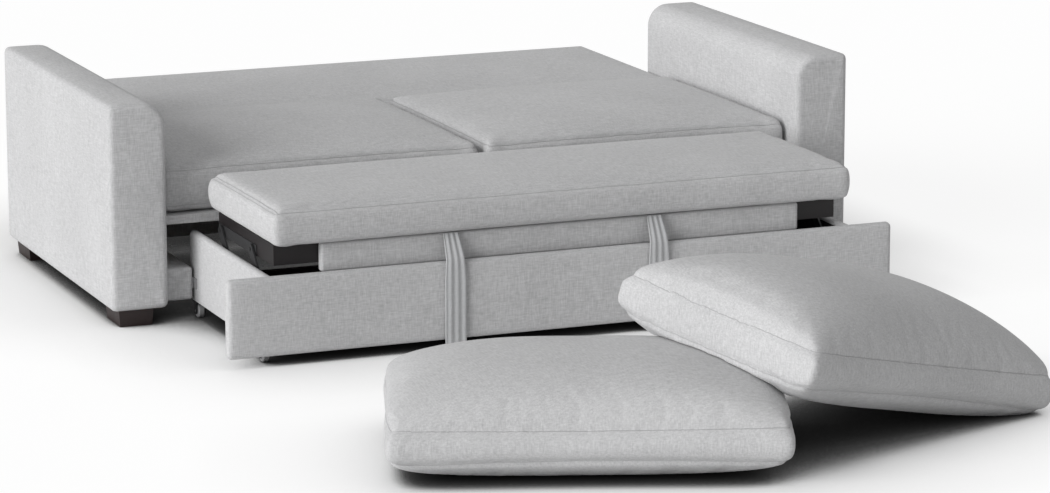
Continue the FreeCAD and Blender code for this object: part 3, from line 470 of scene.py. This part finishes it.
def fuller(stand, low, high, crown, sag, bulge, dome, power, taller=1.0, wider=1.0):
    """A rule that lifts a cushion's shoulders beside its seams, and rounds out its sides and its top.

    low and high are the corners of the seams' box in the cushion's own frame, which stand puts in place.
    Crown and sag are the rise and the fall past that box, and power, below 1, makes them start steeply."""
    back = stand.inverted()
    middle, half = (low + high) / 2, (high - low) / 2
    base = half.z + sag
    shoulder = 8

    def moved(point):
        spot = back @ point - middle
        across, along = (min(abs(spot[axis]) / half[axis], 1.0) for axis in (0, 1))
        belly = bulge * max(0.0, 1 - (spot.z / (2 * half.z + sag)) ** 2)
        spot.x *= wider
        spot.x += math.copysign(belly * across ** shoulder, spot.x)
        spot.y += math.copysign(belly * along ** shoulder, spot.y)
        over = abs(spot.z) - half.z
        room = crown if spot.z > 0 else sag
        if over > 0 and room:
            spot.z = math.copysign(half.z + room * (over / room) ** power, spot.z)
        if spot.z > 0:
            spot.z += dome * (1 - across ** 2) * (1 - along ** 2)
        spot.z = (spot.z + base) * taller - base
        return stand @ (spot + middle)

    return moved


def plumped(name, node, body, shape, reach, rest_z, clear_of=None):
    """A cushion filled from its solid: remeshed, made fuller, drawn in a little, then swollen by pressure."""
    padding = bpy.context.scene.sofa_padding
    piece = add_piece(name, frame["nodes"][node].data.copy(), "Heathered cloth", body)
    even_mesh(piece, padding.cell)
    for vertex in settled(piece).vertices:
        vertex.co = shape(vertex.co)
    even_mesh(piece, padding.cell)
    soften = piece.modifiers.new("Soften", "SMOOTH")
    soften.factor = 0.5
    soften.iterations = 7
    mesh = settled(piece)
    draw_in = padding.draw_in
    start = [vertex.co - vertex.normal * draw_in for vertex in mesh.vertices]
    for vertex, place in zip(mesh.vertices, start):
        vertex.co = place
    cloth = piece.modifiers.new("Filling", "CLOTH")
    cloth.settings.quality = 5
    cloth.settings.mass = 0.3
    cloth.settings.use_pressure = True
    cloth.settings.uniform_pressure_force = padding.pressure
    cloth.settings.effector_weights.gravity = 0
    for step in range(1, padding.steps + 1):
        bpy.context.scene.frame_set(step)
    mesh = settled(piece)
    bpy.context.scene.frame_set(1)
    other = surface_of(clear_of) if clear_of else None
    contact = 0.002
    for vertex, place in zip(mesh.vertices, start):
        moved = vertex.co - place
        if moved.length > 1e-9:
            vertex.co = place + moved * (reach * math.tanh(moved.length / reach) / moved.length)
        if other:
            surface, normal, _, _ = other.find_nearest(vertex.co)
            vertex.co += normal * max(0.0, contact - (vertex.co - surface).dot(normal))
        vertex.co.z = max(vertex.co.z, rest_z)
    finer = piece.modifiers.new("Finer", "SUBSURF")
    finer.levels = finer.render_levels = 1
    mesh = settled(piece)
    mesh.materials.clear()
    mesh.materials.append(bpy.data.materials["Heathered cloth"])
    mesh.shade_smooth()
    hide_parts(node)
    return piece


# Seams

def laid_on(piece, route):
    """The points of a route brought to the nearest place on a piece, with the surface's direction there."""
    tree = surface_of(piece)
    return [tree.find_nearest(point)[:2] for point in route]


def evenly(corners, step, closed=True):
    """Points a step apart along straight runs."""
    points = []
    ends = corners[1:] + corners[:1] if closed else corners[1:]
    for here, there in zip(corners, ends):
        parts = max(1, round((there - here).length / step))
        points += [here.lerp(there, count / parts) for count in range(parts)]
    return points if closed else points + [corners[-1]]


def eased(points, rounds=3):
    """A closed route with its corners rounded."""
    for _ in range(rounds):
        points = [(before + here * 2 + after) / 4
                  for before, here, after in zip(points[-1:] + points[:-1], points, points[1:] + points[:1])]
    return points


def sew(name, piece, route, body, closed=True):
    """Draw the cloth in along a route, and lay the line of a seam in the groove."""
    fabric = bpy.context.scene.sofa_fabric
    pucker_share, puckers_per_metre = 0.5, 16
    flatness, proud = 0.6, 0.2
    path = laid_on(piece, route)
    tree = KDTree(len(path))
    for count, (point, normal) in enumerate(path):
        tree.insert(point, count)
    tree.balance()
    width = fabric.seam_width
    normals = [vertex.normal.copy() for vertex in piece.data.vertices]
    for vertex, inward in zip(piece.data.vertices, normals):
        point, count, distance = tree.find(vertex.co)
        if distance < 3 * width:
            pucker = 1 + pucker_share * noise.noise(point * puckers_per_metre)
            vertex.co -= inward * fabric.seam_depth * pucker * math.exp(-(distance / width) ** 2)
    piece.data.update()
    path = laid_on(piece, [point for point, normal in path])
    mesh = bmesh.new()
    rings = []
    for count, (point, normal) in enumerate(path):
        ahead = path[(count + 1) % len(path)][0] if closed or count + 1 < len(path) else point
        behind = path[count - 1][0] if closed or count else point
        along = (ahead - behind).normalized()
        across = along.cross(normal).normalized()
        ring = []
        for turn in range(4):
            angle = math.pi / 2 * turn
            offset = across * math.cos(angle) + normal * (math.sin(angle) * flatness + proud)
            ring.append(mesh.verts.new(point + offset * fabric.stitch_radius))
        rings.append(ring)
    pairs = list(zip(rings, rings[1:])) + ([(rings[-1], rings[0])] if closed else [])
    for one, other in pairs:
        for turn in range(4):
            after = (turn + 1) % 4
            mesh.faces.new((one[turn], one[after], other[after], other[turn]))
    if not closed:
        mesh.faces.new(rings[0])
        mesh.faces.new(reversed(rings[-1]))
    bmesh.ops.recalc_face_normals(mesh, faces=mesh.faces)
    made = bpy.data.meshes.new(name)
    mesh.to_mesh(made)
    mesh.free()
    made.shade_smooth()
    return add_piece(name, made, "Seam thread", body)


def box_seam(low, high, height, step=0.006):
    """A route round an upright box at one height."""
    corners = [Vector((x, y, height)) for x, y in
               ((low.x, low.y), (high.x, low.y), (high.x, high.y), (low.x, high.y))]
    return eased(evenly(corners, step))


# Operators, one for each piece or group of like pieces

class SOFA_OT_materials(bpy.types.Operator):
    """Make the finishes, and give the wooden, steel and plastic parts theirs"""
    bl_idname = "sofa.materials"
    bl_label = "Materials"
    painted = ("lift_link", "drawer_pivot", "platform_pivot")

    def execute(self, context):
        make_materials()
        # The dark_board parts take the near-black board, which is painted shade for the bay under the bed
        # cushion.
        finishes = {"dark_wood": "Dark stained wood", "dark_board": "Dark painted board",
                    "zinc_steel": "Zinc plated steel", "dark_steel": "Black powder coat",
                    "grey_plastic": "Grey plastic", "white_nylon": "White nylon",
                    "grey_fabric": "Heathered cloth", "strap_fabric": "Strap webbing"}
        for part in frame["record"]["subparts"]:
            node = frame["nodes"][part["node"]]
            low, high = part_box(part["node"])
            pine = "Pine across" if high.x - low.x > high.y - low.y else "Pine along"
            node.data.materials.clear()
            finish = finishes.get(part["material_slot"], pine)
            # Lift links and pivots take the black coat, darkened further as painted shade for the bay under
            # the bed cushion.
            if part["node"].startswith(self.painted):
                finish = "Black powder coat"
            elif part["node"] == "glide_pads":
                finish = "Grey plastic"
            node.data.materials.append(bpy.data.materials[finish])
        return {"FINISHED"}


class SOFA_OT_arms(bpy.types.Operator):
    """Make the two upholstered arms"""
    bl_idname = "sofa.arms"
    bl_label = "Arms"

    def execute(self, context):
        padding = context.scene.sofa_padding
        crown, edge = 0.066, 0.017
        for side in SIDES:
            low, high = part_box(f"arm_cover_{side}")
            low.z += SKIN_GAP
            tops = (crown, edge) if side == "left" else (edge, crown)
            mesh = padded_block(f"arm_{side}", low, high, (edge, edge, *tops), axis=1, edge=edge,
                                swell=padding.face_swell, step=padding.grid)
            piece = add_piece(f"arm_{side}", mesh, "Heathered cloth", "sofa")
            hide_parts(f"arm_cover_{side}")
        return {"FINISHED"}


class SOFA_OT_seat_cushions(bpy.types.Operator):
    """Make the two seat cushions"""
    bl_idname = "sofa.seat_cushions"
    bl_label = "Seat cushions"

    def execute(self, context):
        thickness = 0.136
        base_seam = 0.016
        for side in SIDES:
            node = f"seat_cushion_{side}"
            low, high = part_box(node)
            seams = low.copy(), Vector((high.x, high.y, low.z + thickness))
            shape = fuller(Matrix(), *seams, crown=0.013, sag=0.0, bulge=0.003, dome=0.020, power=0.6)
            piece = plumped(f"seat_pad_{side}", node, "sofa", shape, reach=0.008, rest_z=low.z)
            for name, height in (("top", low.z + thickness), ("base", low.z + base_seam)):
                sew(f"seat_seam_{name}_{side}", piece, box_seam(low, high, height), "sofa")
        return {"FINISHED"}


class SOFA_OT_back_panel(bpy.types.Operator):
    """Make the padded back panel, which lies flat behind the seat"""
    bl_idname = "sofa.back_panel"
    bl_label = "Back panel"

    def execute(self, context):
        padding = context.scene.sofa_padding
        nose, edge = 0.045, 0.014
        low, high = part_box("back_cover")
        low.z += SKIN_GAP
        mesh = padded_block("back_panel", low, high, (nose, edge, edge, nose), axis=0, edge=edge,
                            swell=padding.face_swell * 2, step=padding.grid)
        piece = add_piece("back_panel", mesh, "Heathered cloth", "backrest")
        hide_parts("back_cover")
        return {"FINISHED"}


class SOFA_OT_bed_cushion(bpy.types.Operator):
    """Make the pull-out bed cushion, with a double seam at each end"""
    bl_idname = "sofa.bed_cushion"
    bl_label = "Bed cushion"

    def execute(self, context):
        fabric = context.scene.sofa_fabric
        thickness = 0.107
        seam_step = 0.006
        seam_end = 0.02
        low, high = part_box("bed_cushion")
        top = low.z + thickness
        shape = fuller(Matrix(), low, Vector((high.x, high.y, top)), crown=0.010, sag=0.0, bulge=0.014,
                       dome=0.006, power=0.5, wider=1.010)
        piece = plumped("bed_pad", "bed_cushion", "platform", shape, reach=0.006, rest_z=low.z)
        pieces = [piece, sew("bed_seam_top", piece, box_seam(low, high, top), "platform")]
        for side, x in (("left", low.x), ("right", high.x)):
            height = top - fabric.double_seam
            ends = [Vector((x, low.y + seam_end, height)), Vector((x, high.y - seam_end, height))]
            route = evenly(ends, seam_step, closed=False)
            pieces.append(sew(f"bed_seam_second_{side}", piece, route, "platform", closed=False))
        for each in pieces:
            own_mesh(each)
        return {"FINISHED"}


class SOFA_OT_drawer(bpy.types.Operator):
    """Make the drawer's upholstered front and sides, with the sides' inner faces below the top hem painted
    near black as shade
    """
    bl_idname = "sofa.drawer"
    bl_label = "Drawer"

    def execute(self, context):
        padding = context.scene.sofa_padding
        edge = 0.015
        low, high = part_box("drawer_front_cover")
        high.y -= SKIN_GAP
        mesh = padded_block("drawer_front", low, high, (edge,) * 4, axis=0, edge=edge,
                            swell=padding.face_swell / 2, step=padding.grid)
        piece = add_piece("drawer_front", mesh, "Heathered cloth", "drawer")
        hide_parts("drawer_front_cover")
        foot, top = 0.003, 0.011
        hem = 0.012
        for side in SIDES:
            low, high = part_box(f"drawer_side_{side}")
            mesh = padded_block(f"drawer_wall_{side}", low, high, (foot, foot, top, top), axis=1, edge=foot,
                                swell=0.001, step=padding.grid)
            piece = add_piece(f"drawer_wall_{side}", mesh, "Heathered cloth", "drawer")
            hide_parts(f"drawer_side_{side}")
            # Painted shade: below the top hem, the inner faces of the sides take the near-black cloth that
            # stands in for the shade inside the drawer.
            mesh.materials.append(bpy.data.materials["Drawer lining"])
            inward = 1 if side == "left" else -1
            for face in mesh.polygons:
                if face.normal.x * inward > 0.5 and face.center.z < high.z - hem:
                    face.material_index = 1
        return {"FINISHED"}


class SOFA_OT_runner_blocks(bpy.types.Operator):
    """Make the covered runner blocks on the insides of the arms"""
    bl_idname = "sofa.runner_blocks"
    bl_label = "Runner blocks"

    def execute(self, context):
        padding = context.scene.sofa_padding
        edge = 0.009
        for side in SIDES:
            low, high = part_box(f"runner_block_{side}")
            mesh = padded_block(f"runner_{side}", low, high, (edge,) * 4, axis=1, edge=edge, swell=0.0,
                                step=padding.grid)
            piece = add_piece(f"runner_{side}", mesh, "Heathered cloth", "sofa")
            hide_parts(f"runner_block_{side}")
        return {"FINISHED"}


class SOFA_OT_apron(bpy.types.Operator):
    """Make the upholstered board under the front of the bed cushion"""
    bl_idname = "sofa.apron"
    bl_label = "Apron board"

    def execute(self, context):
        padding = context.scene.sofa_padding
        edge, hang = 0.008, 0.010
        low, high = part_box("apron_board")
        low.z -= hang
        mesh = padded_block("apron", low, high, (edge,) * 4, axis=0, edge=edge, swell=0.001,
                            step=padding.grid)
        piece = add_piece("apron", mesh, "Heathered cloth", "platform")
        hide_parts("apron_board")
        return {"FINISHED"}


class SOFA_OT_pull_straps(bpy.types.Operator):
    """Make the two pleated pull straps"""
    bl_idname = "sofa.pull_straps"
    bl_label = "Pull straps"

    def execute(self, context):
        for side in SIDES:
            make_strap(side)
        return {"FINISHED"}


def make_strap(side):
    """A pleated loop that leaves the cushion's seam, bends over the drawer front and comes back up."""
    node = f"pull_strap_{side}"
    low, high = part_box(node)
    fascia_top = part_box("drawer_front_cover")[1].z
    thick = 0.0012
    pleats = 3
    depth = 0.0022
    pinched, spread, fan_out = 0.72, 0.28, 0.12
    knee = fascia_top + 0.006
    front = low.y + 0.003
    back = low.y + 0.0075
    top_y = high.y - 0.002
    path = [Vector((top_y - 0.003, high.z)), Vector((front + 0.006, knee + 0.012)),
            Vector((front, knee - 0.01)), Vector((front - 0.001, (knee + low.z) / 2)),
            Vector((front, low.z + 0.008)),
            Vector(((front + back) / 2, low.z + 0.001)), Vector((back, low.z + 0.008)),
            Vector((back, (knee + low.z) / 2)), Vector((back, knee - 0.01)),
            Vector((back + 0.006, knee + 0.008)), Vector((top_y, high.z))]
    for _ in range(3):
        finer = [path[0]]
        for here, there in zip(path, path[1:]):
            finer += [here.lerp(there, 0.25), here.lerp(there, 0.75)]
        path = finer + [path[-1]]
    across = 24
    mesh = bmesh.new()
    rings = []
    width = high.x - low.x
    for count, point in enumerate(path):
        before, after = path[max(count - 1, 0)], path[min(count + 1, len(path) - 1)]
        along = (after - before).normalized()
        normal = Vector((-along.y, along.x))
        gather = pinched + spread * min(1.0, abs(high.z - point.y) / fan_out)
        rows = ([], [])
        for column in range(across + 1):
            share = column / across
            wave = depth * math.sin(2 * math.pi * pleats * share) * (1.4 - 0.4 * gather)
            x = (low.x + high.x) / 2 + (share - 0.5) * width * gather
            for row, offset in zip(rows, (thick / 2, -thick / 2)):
                flat = point + normal * (wave * 0.6 + offset)
                row.append(mesh.verts.new((x, flat[0], flat[1])))
        rings.append(rows[0] + rows[1][::-1])
    for one, other in zip(rings, rings[1:]):
        for count in range(len(one)):
            after = (count + 1) % len(one)
            mesh.faces.new((one[count], one[after], other[after], other[count]))
    mesh.faces.new(rings[0])
    mesh.faces.new(reversed(rings[-1]))
    bmesh.ops.recalc_face_normals(mesh, faces=mesh.faces)
    made = bpy.data.meshes.new(node)
    mesh.to_mesh(made)
    mesh.free()
    made.shade_smooth()
    piece = add_piece(f"strap_{side}", made, "Strap webbing", "drawer")
    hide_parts(node)
    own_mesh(piece)


class SOFA_OT_loose_cushions(bpy.types.Operator):
    """Make the two loose back cushions, one flat on the floor and one leaning on it"""
    bl_idname = "sofa.loose_cushions"
    bl_label = "Loose cushions"

    def execute(self, context):
        length, depth, box = 0.943, 0.620, 0.078
        crown, sag = 0.122, 0.062
        lies = (
            ("flat", Vector((-0.444, -1.417846, 0.1005)), (-20.2, 0.0, 0.0), 1.04),
            ("leaning", Vector((0.262, -1.381846, 0.1923)), (23.1, 13.66, 8.4), 1.15),
        )
        high = Vector((length, depth, box)) / 2
        low = -high
        piece = None
        for name, place, (turn, dip, roll), taller in lies:
            body = f"{name}_cushion"
            stand = Matrix.Translation(place) @ Matrix.Rotation(math.radians(turn), 4, "Z") \
                @ Matrix.Rotation(math.radians(dip), 4, "Y") @ Matrix.Rotation(math.radians(roll), 4, "X")
            shape = fuller(stand, low, high, crown, sag, bulge=0.028, dome=0.0, power=0.38, taller=taller)
            piece = plumped(f"loose_cushion_{name}", f"back_cushion_{name}", body, shape, reach=0.010,
                            rest_z=0.0003, clear_of=piece)
            for edge, seam in (("upper", high.z), ("lower", low.z)):
                height = (seam + high.z + sag) * taller - high.z - sag
                route = [stand @ point for point in box_seam(low, high, height)]
                sew(f"loose_seam_{edge}_{name}", piece, route, body)
        return {"FINISHED"}


class SOFA_OT_stage(bpy.types.Operator):
    """Make the floor, the light and the camera"""
    bl_idname = "sofa.stage"
    bl_label = "Stage"

    def execute(self, context):
        values = context.scene.sofa_stage
        make_floor(values)
        make_light(values)
        camera = bpy.data.cameras.new("Camera")
        camera.lens = values.lens
        camera.sensor_width = 36
        camera.shift_x, camera.shift_y = values.shift
        camera.clip_end = 100
        eye = bpy.data.objects.new("Camera", camera)
        eye.location = values.eye
        eye.rotation_euler = values.look
        context.scene.collection.objects.link(eye)
        context.scene.camera = eye
        context.scene.view_settings.view_transform = "Standard"
        return {"FINISHED"}


def make_floor(values):
    """A pale floor that keeps the shadows and looks white to the camera; under and close to the sofa, ambient
    occlusion paints its colour dark as shade and fades its glow.
    """
    reach = 30.0
    glow_share, shade = 0.75, (0.01, 0.01, 0.01, 1)
    mesh = bpy.data.meshes.new("floor")
    mesh.from_pydata([(-reach, -reach, 0), (reach, -reach, 0), (reach, reach, 0), (-reach, reach, 0)], [],
                     [(0, 1, 2, 3)])
    floor = bpy.data.objects.new("floor", mesh)
    bpy.context.scene.collection.objects.link(floor)
    material = bpy.data.materials.new("Pale floor")
    material.use_nodes = True
    tree = material.node_tree
    shader = tree.nodes["Principled BSDF"]
    shader.inputs["Roughness"].default_value = 0.9
    shader.inputs["Specular IOR Level"].default_value = 0.0
    glow = tree.nodes.new("ShaderNodeEmission")
    rays = tree.nodes.new("ShaderNodeLightPath")
    blend = tree.nodes.new("ShaderNodeMixShader")
    # Painted shade: ambient occlusion turns the floor's colour near black under the sofa, and its square
    # takes the camera's glow away near every part.
    near = tree.nodes.new("ShaderNodeAmbientOcclusion")
    near.inputs["Distance"].default_value = 0.5
    clear = maths(tree, "POWER", near.outputs["AO"], 2.0)
    free_of_painted_shade = tree.nodes.new("ShaderNodeMapRange")
    free_of_painted_shade.interpolation_type = "SMOOTHSTEP"
    free_of_painted_shade.inputs["From Min"].default_value = 0.25
    free_of_painted_shade.inputs["From Max"].default_value = 0.5
    tree.links.new(near.outputs["AO"], free_of_painted_shade.inputs["Value"])
    tree.links.new(mixed(tree, free_of_painted_shade.outputs["Result"], shade, values.floor), shader.inputs["Base Color"])
    seen = maths(tree, "MULTIPLY", rays.outputs["Is Camera Ray"], clear)
    tree.links.new(maths(tree, "MULTIPLY", seen, glow_share), blend.inputs[0])
    tree.links.new(shader.outputs[0], blend.inputs[1])
    tree.links.new(glow.outputs[0], blend.inputs[2])
    tree.links.new(blend.outputs[0], tree.nodes["Material Output"].inputs["Surface"])
    glow.inputs["Strength"].default_value = 1.1
    mesh.materials.append(material)


def make_light(values):
    """Even light from all round, and a broad soft light from the left."""
    world = bpy.data.worlds.new("Studio")
    bpy.context.scene.world = world
    world.use_nodes = True
    tree = world.node_tree
    sky = tree.nodes["Background"]
    rays = tree.nodes.new("ShaderNodeLightPath")
    seen = maths(tree, "MAXIMUM", rays.outputs["Is Camera Ray"],
                 maths(tree, "MAXIMUM", rays.outputs["Is Glossy Ray"], rays.outputs["Is Transmission Ray"]))
    sky.inputs["Color"].default_value = (1, 1, 1, 1)
    tree.links.new(maths(tree, "MULTIPLY_ADD", seen, 1 - values.sky, values.sky), sky.inputs["Strength"])
    sun = bpy.data.lights.new("Key", "SUN")
    sun.energy = values.key
    sun.angle = values.key_spread
    lamp = bpy.data.objects.new("Key", sun)
    lamp.rotation_mode = "QUATERNION"
    lamp.rotation_quaternion = (-Vector(values.key_from)).to_track_quat("-Z", "Y")
    bpy.context.scene.collection.objects.link(lamp)


STEPS = (
    SOFA_OT_materials, SOFA_OT_stage, SOFA_OT_arms, SOFA_OT_seat_cushions, SOFA_OT_back_panel,
    SOFA_OT_bed_cushion, SOFA_OT_drawer, SOFA_OT_runner_blocks, SOFA_OT_apron, SOFA_OT_pull_straps,
    SOFA_OT_loose_cushions,
)


class SOFA_PT_sidebar(bpy.types.Panel):
    """The sofa's pieces, each with its own button"""
    bl_label = "Sleeper sofa"
    bl_space_type = "VIEW_3D"
    bl_region_type = "UI"
    bl_category = "Sofa"

    def draw(self, context):
        for group in (context.scene.sofa_fabric, context.scene.sofa_padding, context.scene.sofa_stage):
            for name in group.__annotations__:
                self.layout.prop(group, name)
        for step in STEPS:
            self.layout.operator(step.bl_idname)


CLASSES = (SofaFabric, SofaPadding, SofaStage, *STEPS, SOFA_PT_sidebar)


def register():
    """Add the classes and the settings to Blender."""
    for each in CLASSES:
        bpy.utils.register_class(each)
    bpy.types.Scene.sofa_fabric = bpy.props.PointerProperty(type=SofaFabric)
    bpy.types.Scene.sofa_padding = bpy.props.PointerProperty(type=SofaPadding)
    bpy.types.Scene.sofa_stage = bpy.props.PointerProperty(type=SofaStage)


def unregister():
    """Take the settings and the classes away again."""
    del bpy.types.Scene.sofa_stage
    del bpy.types.Scene.sofa_padding
    del bpy.types.Scene.sofa_fabric
    for each in reversed(CLASSES):
        bpy.utils.unregister_class(each)


def main():
    """Run every step in order."""
    register()
    for step in STEPS:
        family, name = step.bl_idname.split(".")
        getattr(getattr(bpy.ops, family), name)()


if __name__ == "__main__":
    main()
